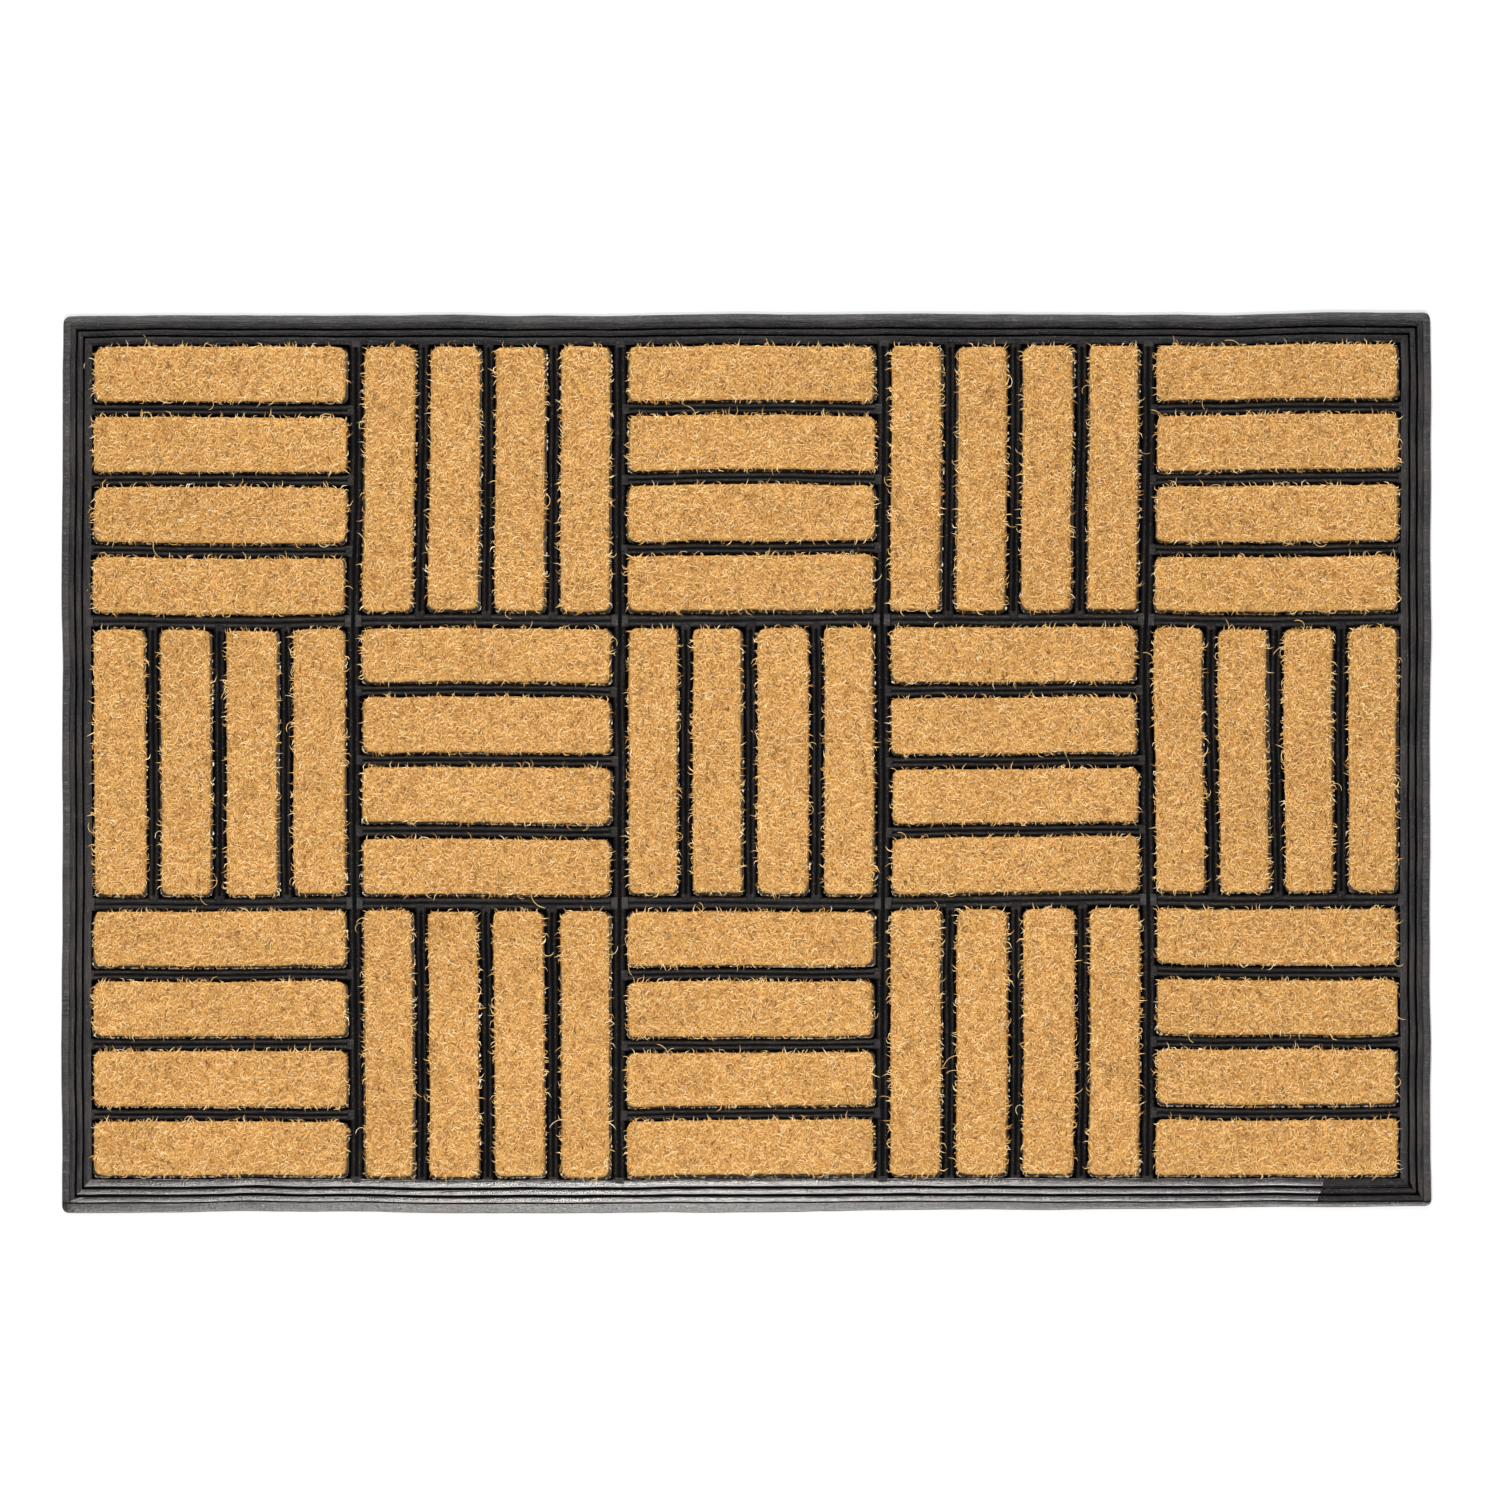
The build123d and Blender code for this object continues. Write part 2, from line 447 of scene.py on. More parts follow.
# The ribs along Y get a darker, duller copy of the same rubber as painted shade, since their beads face away from the
# front and rear lights.
rib_rubbers = [
    make_rubber("rib_rubber_x", 0, (0.007, 0.006, 0.007), 0.12, (0.36, 0.56), COARSE, specular=0.2, by_height=True),
    make_rubber("rib_rubber_y", 1, (0.005, 0.0043, 0.005), 0.10, (0.42, 0.62), COARSE, specular=0.15, by_height=True),
]
print("rubber finishes:", sum(item.name.endswith(("rubber", "_x", "_y")) for item in bpy.data.materials))

# %% [markdown]
# ## Coir
# Coir is a stiff brown fibre, from dark husk bits to pale straw. Each fibre of the pile carries a number
# called tone, drawn when the fibres are scattered, and the material turns tone into a colour along a
# ramp. The body under the fibres has the same colours, but darker, because it is seen in their shade.

# %% Coir finishes
FIBRE_COLOURS = [
    (0.00, (0.08, 0.034, 0.010)),
    (0.09, (0.42, 0.205, 0.055)),
    (0.35, (0.73, 0.445, 0.145)),
    (0.70, (0.93, 0.655, 0.285)),
    (1.00, (0.98, 0.850, 0.550)),
]
BODY_COLOURS = [
    (0.32, (0.16, 0.070, 0.018)),
    (0.50, (0.44, 0.236, 0.064)),
    (0.72, (0.76, 0.485, 0.170)),
]


def make_fibre_finish(name, from_tone):
    """Coir. The pile's fibres take their colour from tone, and the body takes it from a fibrous noise."""
    material, tree, shader = new_material(name)
    place = add_node(tree, "ShaderNodeTexCoord").outputs["Object"]
    strands = add_noise(tree, place, 0.9 * MM, detail=5, roughness=0.7)
    tufts = add_noise(tree, place, 5 * MM, detail=2)
    fields = add_noise(tree, place, 45 * MM, detail=2)
    if from_tone:
        tone = add_node(tree, "ShaderNodeAttribute", attribute_name="tone").outputs["Fac"]
        colour = add_colour_ramp(tree, tone, FIBRE_COLOURS)
    else:
        colour = add_colour_ramp(tree, strands, BODY_COLOURS)
    tuft_shade = add_colour_ramp(tree, tufts, [(0.3, (0.86, 0.82, 0.76)), (0.7, (1.0, 1.0, 1.0))])
    field_shade = add_colour_ramp(tree, fields, [(0.3, (0.93, 0.91, 0.88)), (0.7, (1.0, 1.0, 1.0))])
    colour = add_mix(tree, 1.0, colour, tuft_shade, "MULTIPLY")
    colour = add_mix(tree, 1.0, colour, field_shade, "MULTIPLY")
    tree.links.new(colour, shader.inputs["Base Color"])
    tree.links.new(add_range(tree, strands, 0.3, 0.7, 0.55, 0.8), shader.inputs["Roughness"])
    shader.inputs["Specular IOR Level"].default_value = 0.3
    add_bump(tree, shader, [(strands, 0.25 * MM if not from_tone else 0.05 * MM)])
    return material


coir_fibre = make_fibre_finish("coir_fibre", True)
coir_body = make_fibre_finish("coir_body", False)


def make_backing_finish():
    """The woven backing: dark rubber-soaked cloth."""
    material, tree, shader = new_material("pile_backing")
    place = add_node(tree, "ShaderNodeTexCoord").outputs["Object"]
    threads = add_noise(tree, place, 1.2 * MM, detail=3)
    colour = add_colour_ramp(tree, threads, [(0.35, (0.012, 0.010, 0.009)), (0.7, (0.06, 0.040, 0.024))])
    tree.links.new(colour, shader.inputs["Base Color"])
    tree.links.new(add_range(tree, threads, 0.3, 0.7, 0.6, 0.85), shader.inputs["Roughness"])
    add_bump(tree, shader, [(threads, 0.2 * MM)])
    return material


backing_cloth = make_backing_finish()
print("coir finishes:", coir_fibre.name, coir_body.name, backing_cloth.name)

# %% [markdown]
# ## The backing sheet
# The sheet is one slab with straight grip grooves below and a thin lip all round, trimmed by hand, so the lip
# is a little narrower towards the front right corner. The grooves are made by cutting the slab
# along both sides of each groove and then pushing the faces between them up into it.

# %% Sheet sizes
GRIP_WIDTH = 2.0 * MM
GRIP_DEPTH = 0.6 * MM
GRIP_PITCH = 6.0 * MM
GRIP_MARGIN = 15.0 * MM
SHEET_CORNER = 3.0 * MM
SHEET_EDGE = 0.6 * MM
TRIM = 2.2 * MM
FRONT_FLASH = 1.1 * MM
BACK_FLASH = 0.5 * MM
LIP_SLOPE = 0.11
LIP_SHADE = 0.55 * MM
mat_corner = Vector((sheet_high.x, sheet_high.y))
# Inside this line the sheet gets the painted shade, black for the shaded floor between ribs and coir.
painted_shade_field = ramp_outer - Vector((5 * MM, 5 * MM))


# %% Model the sheet
def cut_line(point, normal, clear=False):
    """Cut everything that is open in edit mode along a plane."""
    bpy.ops.mesh.select_all(action="SELECT")
    bpy.ops.mesh.bisect(plane_co=point, plane_no=normal, use_fill=clear, clear_outer=clear)


def in_grip_groove(center):
    """True below a groove: within its margins, and within its width of its own middle line."""
    reach = sheet_high.x - GRIP_MARGIN
    side = abs(center.x) % GRIP_PITCH - GRIP_PITCH / 2
    return abs(center.x) < reach and abs(center.y) < sheet_high.y - GRIP_MARGIN and abs(side) < GRIP_WIDTH / 2


def lower_front_lip(slab):
    """Let the top of the front lip fall away from the ramp."""
    mesh = bmesh.from_edit_mesh(slab.data)
    for point in mesh.verts:
        out = -ramp_outer.y - point.co.y
        if out > 0 and is_near(point.co.z, sheet_top):
            point.co.z -= LIP_SLOPE * out
    bmesh.update_edit_mesh(slab.data)


def make_sheet():
    """The slab, trimmed, grooved below and rounded along its top edge."""
    front_edge = sheet_low.y - FRONT_FLASH
    back_edge = sheet_high.y + BACK_FLASH
    low = (sheet_low.x, front_edge, sheet_low.z)
    slab = add_block("backing_sheet_rubber", low, (sheet_high.x, back_edge, sheet_top))
    edit(slab)
    cut_line((0, front_edge, 0), (TRIM, -sheet_high.x, 0), clear=True)
    is_corner = mat_corner.x - 0.5 * MM
    pick_edges(slab, lambda a, b: abs(a.z - b.z) > MM and min(abs(a.x), abs(b.x)) > is_corner)
    bpy.ops.mesh.bevel(offset=SHEET_CORNER, segments=6, affect="EDGES")
    for side in (-1, 1):
        for line in (painted_shade_field, ramp_outer):
            cut_line((side * line.x, 0, 0), (1, 0, 0))
            cut_line((0, side * line.y, 0), (0, 1, 0))
    cut_line((0, -ramp_outer.y - LIP_SHADE, 0), (0, 1, 0))
    grooves = int((sheet_high.x - GRIP_MARGIN) / GRIP_PITCH)
    for index in range(grooves):
        middle = (index + 0.5) * GRIP_PITCH
        for side in (-1, 1):
            for edge in (-GRIP_WIDTH / 2, GRIP_WIDTH / 2):
                cut_line((side * (middle + edge), 0, 0), (1, 0, 0))
    rows = 44
    for index in range(rows + 1):
        cut_line((0, (index / rows * 2 - 1) * (sheet_high.y - GRIP_MARGIN), 0), (0, 1, 0))
    pick_faces(slab, lambda center, normal: normal.z < -0.9 and in_grip_groove(center))
    bpy.ops.mesh.extrude_region_move(TRANSFORM_OT_translate={"value": (0, 0, GRIP_DEPTH)})
    lower_front_lip(slab)
    pick_faces(slab, lambda center, normal: normal.z > 0.9)
    bpy.ops.mesh.region_to_loop()
    bpy.ops.mesh.bevel(offset=SHEET_EDGE, segments=2, affect="EDGES")
    bpy.ops.mesh.select_all(action="SELECT")
    bpy.ops.mesh.normals_make_consistent(inside=False)
    close_edit()
    return slab


def finish_sheet(slab):
    """The lip is dusty but shines at the front. Inside the ramp, and in a thin strip just in front of the first riser,
    the rubber gets the painted shade and stays black.
    """
    for rubber in (sheet_rubber, painted_shade_rubber, lip_rubber):
        slab.data.materials.append(rubber)
    for face in slab.data.polygons:
        out = -ramp_outer.y - face.center.y
        inside = abs(face.center.x) < painted_shade_field.x and abs(face.center.y) < painted_shade_field.y
        if face.normal.z > 0.5:
            face.material_index = 1 if inside or 0 < out < LIP_SHADE else 2 if out > 0 else 0
    let_creep(slab, 0.15 * MM)
    for point in slab.data.vertices:
        if point.co.z < GRIP_DEPTH / 3:
            point.co.z = sheet_low.z
    select_only(slab)
    bpy.ops.object.shade_smooth_by_angle(angle=math.radians(35))
    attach(slab, "root")
    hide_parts("backing_sheet")


sheet = make_sheet()
finish_sheet(sheet)
print("backing sheet:", triangles(sheet), "triangles")

# %% [markdown]
# ## The border ramp
# The border climbs from the lip in three treads. It could be swept along a path, but corners of a sweep
# need care. A block that covers the whole field, inset again and again, gives the treads, the grooves
# between them and perfect mitres at all four corners at once. The middle is then opened, and
# the ring is cut where the lengths of rubber meet.

# %% Border sizes
TREADS = 3
TREAD_WIDTH = ramp_width / TREADS
RISER = (crest - sheet_top) / TREADS
TREAD_SLOPE = 0.35 * MM
TREAD_GROOVE_WIDTH = 0.95 * MM
TREAD_GROOVE_DEPTH = 0.6 * MM
EDGE_ROUND = 0.28 * MM
print("tread", round(TREAD_WIDTH / MM, 2), "wide, riser", round(RISER / MM, 2))


# %% Inset the treads
def inset_top(width, rise):
    """Inset the selected face and lift or lower what is inside."""
    bpy.ops.mesh.inset(thickness=width, depth=0)
    if rise:
        bpy.ops.transform.translate(value=(0, 0, rise))


def lift_top(rise):
    """Extrude the selected face straight up or down."""
    bpy.ops.mesh.extrude_region_move(TRANSFORM_OT_translate={"value": (0, 0, rise)})


def make_ramp_ring():
    """The whole ramp as one ring, before it is cut into its lengths."""
    first_nosing = sheet_top + RISER - TREAD_SLOPE
    low = (-ramp_outer.x, -ramp_outer.y, sheet_top)
    high = (ramp_outer.x, ramp_outer.y, first_nosing)
    ring = add_block("ramp_ring", low, high)
    edit(ring)
    pick_faces(ring, lambda center, normal: normal.z > 0.9)
    for tread in range(TREADS - 1):
        inset_top(TREAD_WIDTH - TREAD_GROOVE_WIDTH, TREAD_SLOPE)
        lift_top(-TREAD_GROOVE_DEPTH)
        inset_top(TREAD_GROOVE_WIDTH, 0)
        lift_top(TREAD_GROOVE_DEPTH + RISER - TREAD_SLOPE)
    inset_top(TREAD_WIDTH, TREAD_SLOPE)
    lift_top(sheet_top - crest)
    bpy.ops.mesh.delete(type="ONLY_FACE")
    pick_faces(ring, lambda center, normal: normal.z < -0.9)
    bpy.ops.mesh.delete(type="ONLY_FACE")
    pick_edges(ring, lambda a, b: is_near(a.z, sheet_top) and is_near(b.z, sheet_top))
    bpy.ops.mesh.bridge_edge_loops()
    bpy.ops.mesh.select_all(action="SELECT")
    bpy.ops.mesh.normals_make_consistent(inside=False)
    close_edit()
    bevel = ring.modifiers.new("rounded edges", "BEVEL")
    bevel.width = EDGE_ROUND
    bevel.segments = 2
    bevel.limit_method = "ANGLE"
    bevel.angle_limit = math.radians(30)
    apply_modifiers(ring)
    return ring


ring = make_ramp_ring()
print("ramp ring:", len(ring.data.polygons), "faces, top at", round(max(v.co.z for v in ring.data.vertices) / MM, 2))

# %% [markdown]
# The ring is laid in five lengths. Four meet on the diagonals of the corners, and the front length is closed
# by a short filler with a slanting joint. Each length is a copy of the ring with the rest
# cut away by planes that close the cut face as they go.

# %% Cut the ring into lengths
filler_low, filler_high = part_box("border_front_filler")
front_low, front_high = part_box("border_front")
scarf_outer = Vector((filler_low.x, front_low.y, 0))
scarf_inner = Vector((front_high.x, front_high.y, 0))
scarf_run = scarf_inner - scarf_outer
scarf_normal = Vector((scarf_run.y, -scarf_run.x, 0)).normalized()


def cut_away(piece, point, normal):
    """Remove what lies on the side that the normal points to, and close the cut."""
    edit(piece)
    bpy.ops.mesh.select_all(action="SELECT")
    bpy.ops.mesh.bisect(plane_co=point, plane_no=normal, use_fill=True, clear_outer=True)
    close_edit()


def corner_point(side_x, side_y):
    """Corner of the mat on the given sides."""
    return Vector((side_x * mat_corner.x, side_y * mat_corner.y, 0))


def divide_lengthwise(piece, axis, spacing, shortest):
    """Add points along the long edges, so that the length can waver."""
    edit(piece)
    pick_edges(piece, lambda a, b: abs(a[axis] - b[axis]) > shortest)
    longest = max(piece.dimensions[axis], shortest)
    bpy.ops.mesh.subdivide(number_cuts=max(1, int(longest / spacing)))
    close_edit()


def finish_treads(piece, rubber):
    """Give the treads the worn finish, and the grooves and risers between them the painted shade."""
    piece.data.materials.clear()
    piece.data.materials.append(rubber)
    piece.data.materials.append(painted_shade_rubber)
    floors = [sheet_top + (tread + 1) * RISER - TREAD_GROOVE_DEPTH for tread in range(TREADS - 1)]
    for face in piece.data.polygons:
        in_groove = any(is_near(face.center.z, level, 0.12 * MM) for level in floors)
        face.material_index = 1 if face.normal.z < 0.35 or in_groove else 0


def make_border(name, cuts, axis, rubber, sunk):
    """One length of the border, from the ring."""
    piece = copy_piece(ring, name + "_rubber")
    for point, normal in cuts:
        cut_away(piece, point, normal)
    edit(piece)
    pick_faces(piece, lambda center, normal: center.z > sheet_top + 0.9 * RISER and normal.z > 0.1)
    bpy.ops.transform.translate(value=(0, 0, -sunk))
    close_edit()
    divide_lengthwise(piece, axis, 5 * MM, 15 * MM)
    finish_treads(piece, rubber)
    let_creep(piece, 0.45 * MM)
    select_only(piece)
    bpy.ops.object.shade_smooth_by_angle(angle=math.radians(35))
    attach(piece, "root")
    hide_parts(name)
    return piece


BACK_LEFT = (corner_point(-1, 1), Vector((1, 1, 0)))
BACK_RIGHT = (corner_point(1, 1), Vector((-1, 1, 0)))
FRONT_LEFT = (corner_point(-1, -1), Vector((1, -1, 0)))
FRONT_RIGHT = (corner_point(1, -1), Vector((-1, -1, 0)))
SCARF = (scarf_outer, scarf_normal)


def other_side(cut):
    """The same plane, keeping what the cut would remove."""
    return (cut[0], -cut[1])


BORDERS = {
    "border_back": ([other_side(BACK_LEFT), other_side(BACK_RIGHT)], 0, back_rubber, 0),
    "border_left": ([BACK_LEFT, FRONT_LEFT], 1, side_rubber, 0),
    "border_right": ([BACK_RIGHT, FRONT_RIGHT], 1, side_rubber, 0),
    "border_front": ([other_side(FRONT_LEFT), other_side(FRONT_RIGHT), SCARF], 0, front_rubber, 0),
    "border_front_filler": ([other_side(FRONT_RIGHT), other_side(SCARF)], 0, filler_rubber, 0.3 * MM),
}
for border_name, (cuts, axis, rubber, sunk) in BORDERS.items():
    border = make_border(border_name, cuts, axis, rubber, sunk)
    print(border.name, triangles(border), "triangles")
bpy.data.objects.remove(ring)

# %% [markdown]
# ## Ribs
# Every rib is a wall with two rounded beads along its top and a groove between them. A block is bisected
# along the middle of each bead and along the groove, the groove and the shoulders are lowered,
# and a bevel rounds what is left. Where one rib meets the next, the hot rubber swelled into a
# small knuckle, so the ends are lifted a little.

# %% Rib sizes
GROOVE_DROP = 1.5 * MM
SHOULDER_DROP = 1.15 * MM
BEAD_ROUND = 0.55 * MM
RIB_STEP = 3.5 * MM
KNUCKLE_LENGTH = 1.4 * MM
KNUCKLE_RISE = 0.3 * MM
RIB_OVERLAP = 1.7 * MM


# %% Model one rib
def make_rib(width, length):
    """A rib along X, centred in plan on the origin, standing on the sheet."""
    half = length / 2 + RIB_OVERLAP
    rib = add_block("rib", (-half, -width / 2, sheet_top), (half, width / 2, rib_top))
    edit(rib)
    for place in (-width / 4, 0, width / 4):
        bpy.ops.mesh.select_all(action="SELECT")
        bpy.ops.mesh.bisect(plane_co=(0, place, 0), plane_no=(0, 1, 0))
    for place, drop in ((0, GROOVE_DROP), (width / 2, SHOULDER_DROP), (-width / 2, SHOULDER_DROP)):
        pick_edges(rib, lambda a, b: all(is_near(p.y, place) and is_near(p.z, rib_top) for p in (a, b)))
        bpy.ops.transform.translate(value=(0, 0, -drop))
    pick_edges(rib, lambda a, b: all(is_near(abs(p.y), width / 4) and is_near(p.z, rib_top) for p in (a, b)))
    bpy.ops.mesh.bevel(offset=BEAD_ROUND, segments=3, affect="EDGES")
    pick_edges(rib, lambda a, b: abs(a.x - b.x) > length / 2)
    bpy.ops.mesh.subdivide(number_cuts=int(length / RIB_STEP))
    for end in (-1, 1):
        for from_end in (KNUCKLE_LENGTH, KNUCKLE_LENGTH - 0.5 * MM):
            bpy.ops.mesh.select_all(action="SELECT")
            bpy.ops.mesh.bisect(plane_co=(end * (length / 2 - from_end), 0, 0), plane_no=(1, 0, 0))
    raise_knuckles(rib, width, length)
    close_edit()
    return rib


def raise_knuckles(rib, width, length):
    """Swell both ends into a flat knob where the rib ran into its neighbour."""
    rise = KNUCKLE_RISE if is_near(width, divider_width) else 0.0
    mesh = bmesh.from_edit_mesh(rib.data)
    for point in mesh.verts:
        at_end = length / 2 - abs(point.co.x) < KNUCKLE_LENGTH - 0.1 * MM
        if at_end and point.co.z > rib_top - GROOVE_DROP - 0.3 * MM:
            on_shoulder = is_near(abs(point.co.y), width / 2)
            point.co.z = rib_top + rise - (0.6 * MM if on_shoulder else 0)
    bmesh.update_edit_mesh(rib.data)


rib_patterns = {}


def lay_rib(width, length, center, axis):
    """A copy of the rib of that size, laid along an axis."""
    key = (round(width / MM, 3), round(length / MM, 3))
    if key not in rib_patterns:
        rib_patterns[key] = make_rib(width, length)
    rib = copy_piece(rib_patterns[key], "rib_copy")
    turn = Matrix.Rotation(math.pi / 2 * axis, 4, "Z")
    rib.data.transform(Matrix.Translation((center[0], center[1], 0)) @ turn)
    return rib


def finish_ribs(ribs, node, axis):
    """Join the ribs of one node, let them creep, and hand them to the frame."""
    piece = join(ribs, node + "_rubber")
    let_creep(piece, 0.4 * MM)
    piece.data.materials.clear()
    piece.data.materials.append(rib_rubbers[axis])
    piece.data.materials.append(painted_shade_rubber)
    # Painted shade: the walls below the shoulders, down in the gaps, get the near-black rubber.
    for face in piece.data.polygons:
        face.material_index = 1 if face.center.z < rib_top - SHOULDER_DROP - 0.3 * MM else 0
    select_only(piece)
    bpy.ops.object.shade_smooth_by_angle(angle=math.radians(50))
    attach(piece, "root")
    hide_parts(node)
    return piece


# %% Lay the dividers
for index in range(COLUMNS - 1):
    node = f"long_divider_{index + 1}"
    low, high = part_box(node)
    divider = finish_ribs([lay_rib(high.x - low.x, high.y - low.y, (low + high) / 2, 1)], node, 1)

for index in range(ROWS - 1):
    node = f"cross_divider_{index + 1}"
    low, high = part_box(node)
    lengths = []
    for column in range(COLUMNS):
        run_low, run_high = (cells[0, column][key].x for key in ("rib_low", "rib_high"))
        if not strips_run_along_x(0, column):
            run_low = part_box("short_ribs_" + cell_name(1, column))[0].x
            run_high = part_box("short_ribs_" + cell_name(1, column))[1].x
        lengths.append(lay_rib(high.y - low.y, run_high - run_low, ((run_low + run_high) / 2, (low.y + high.y) / 2), 0))
    divider = finish_ribs(lengths, node, 0)
print("dividers laid, the last with", triangles(divider), "triangles")

# %% Lay the short ribs
for (row, column), cell in cells.items():
    low = cell["rib_low"]
    high = cell["rib_high"]
    along = cell["along"]
    across = cell["across"]
    ribs = []
    for index in range(SHORT_RIBS):
        center = [0, 0]
        center[along] = (low[along] + high[along]) / 2
        center[across] = low[across] + cell["rib_width"] / 2 + index * cell["pitch"]
        ribs.append(lay_rib(cell["rib_width"], high[along] - low[along], center, along))
    ribs = finish_ribs(ribs, "short_ribs_" + cell_name(row, column), along)
for pattern in rib_patterns.values():
    bpy.data.objects.remove(pattern)
print("short ribs laid, the last cell with", triangles(ribs), "triangles")

# %% [markdown]
# ## Fibres
# The pile of a coir strip is thousands of cut fibres that stand and lean every way. A flat surface with a
# picture of fibres would look dead from the side, so real ones are made: a few bent, three-sided slivers,
# modelled once, and scattered over each strip. Each sliver has only ten triangles, because
# there are more than a hundred thousand of them.

# %% Model the fibres
FIBRE_SHAPES = 12
STRAY_SHAPES = 5
draw = random.Random(7)


def make_sliver(name, radius, path):
    """A closed three-sided fibre that follows a few points and ends in a point."""
    select_only()
    height = path[-1].z
    bpy.ops.mesh.primitive_cone_add(vertices=3, radius1=radius, radius2=0, depth=1.0, location=(0, 0, 0.5))
    sliver = bpy.context.object
    sliver.name = name
    bpy.ops.object.transform_apply(location=True, rotation=True, scale=True)
    edit(sliver)
    steps = len(path) - 1
    for step in range(1, steps):
        bpy.ops.mesh.select_all(action="SELECT")
        bpy.ops.mesh.bisect(plane_co=(0, 0, step / steps), plane_no=(0, 0, 1))
    mesh = bmesh.from_edit_mesh(sliver.data)
    for point in mesh.verts:
        step = round(point.co.z * steps)
        taper = 1 - point.co.z
        place = path[step]
        around = Vector((point.co.x, point.co.y, 0)) / max(taper, 1e-6) if step < steps else Vector()
        run = (path[min(step + 1, steps)] - path[max(step - 1, 0)]).normalized()
        point.co = place + run.to_track_quat("Z", "Y") @ around
    bmesh.update_edit_mesh(sliver.data)
    close_edit()
    return sliver


def fibre_path(length, lean, curl, steps):
    """Points of a fibre that starts upright, leans over towards +X and curls sideways."""
    points = [Vector((0, 0, -0.5 * MM))]
    heading = 0.0
    tilt = lean * 0.45
    place = points[0]
    for step in range(steps):
        direction = Vector((math.sin(tilt) * math.cos(heading), math.sin(tilt) * math.sin(heading), math.cos(tilt)))
        place = place + direction * (length / steps)
        points.append(place)
        tilt = min(tilt + lean * 0.55, math.radians(92))
        heading += curl / steps
    return points


fibre_kit = bpy.data.collections.new("fibre_kit")
stray_kit = bpy.data.collections.new("stray_kit")


def put_in_kit(piece, kit):
    """Move a template out of the scene and into a kit that the scatter draws from."""
    for holder in list(piece.users_collection):
        holder.objects.unlink(piece)
    kit.objects.link(piece)


for index in range(FIBRE_SHAPES):
    path = fibre_path(draw.uniform(3.0, 5.0) * MM, math.radians(draw.uniform(60, 95)), draw.uniform(-2.4, 2.4), 2)
    put_in_kit(make_sliver(f"fibre_{index}", draw.uniform(0.14, 0.22) * MM, path), fibre_kit)
for index in range(STRAY_SHAPES):
    path = fibre_path(draw.uniform(6, 10.5) * MM, math.radians(draw.uniform(70, 92)), draw.uniform(-4.5, 4.5), 8)
    put_in_kit(make_sliver(f"stray_{index}", draw.uniform(0.10, 0.13) * MM, path), stray_kit)

# %% [markdown]
# ## Scattering
# A Geometry Nodes modifier does what a hair system would, but gives a real mesh when it is applied. It
# spreads points over the faces, puts a fibre on each, turns and sizes it at random, and stores a tone
# for its colour. The upper faces get the most fibres, and the foot of the strip gets none.


# %% Build the scatter
def field_math(tree, operation, first, second):
    """One Math node between fields or numbers."""
    node = tree.nodes.new("ShaderNodeMath")
    node.operation = operation
    for socket, value in zip(node.inputs, (first, second)):
        if isinstance(value, bpy.types.NodeSocket):
            tree.links.new(value, socket)
        else:
            socket.default_value = value
    return node.outputs[0]


def random_field(tree, low, high, seed):
    """A random number for each point."""
    node = tree.nodes.new("FunctionNodeRandomValue")
    node.data_type = "FLOAT"
    node.inputs[2].default_value = low
    node.inputs[3].default_value = high
    node.inputs["Seed"].default_value = seed
    return node.outputs[1]


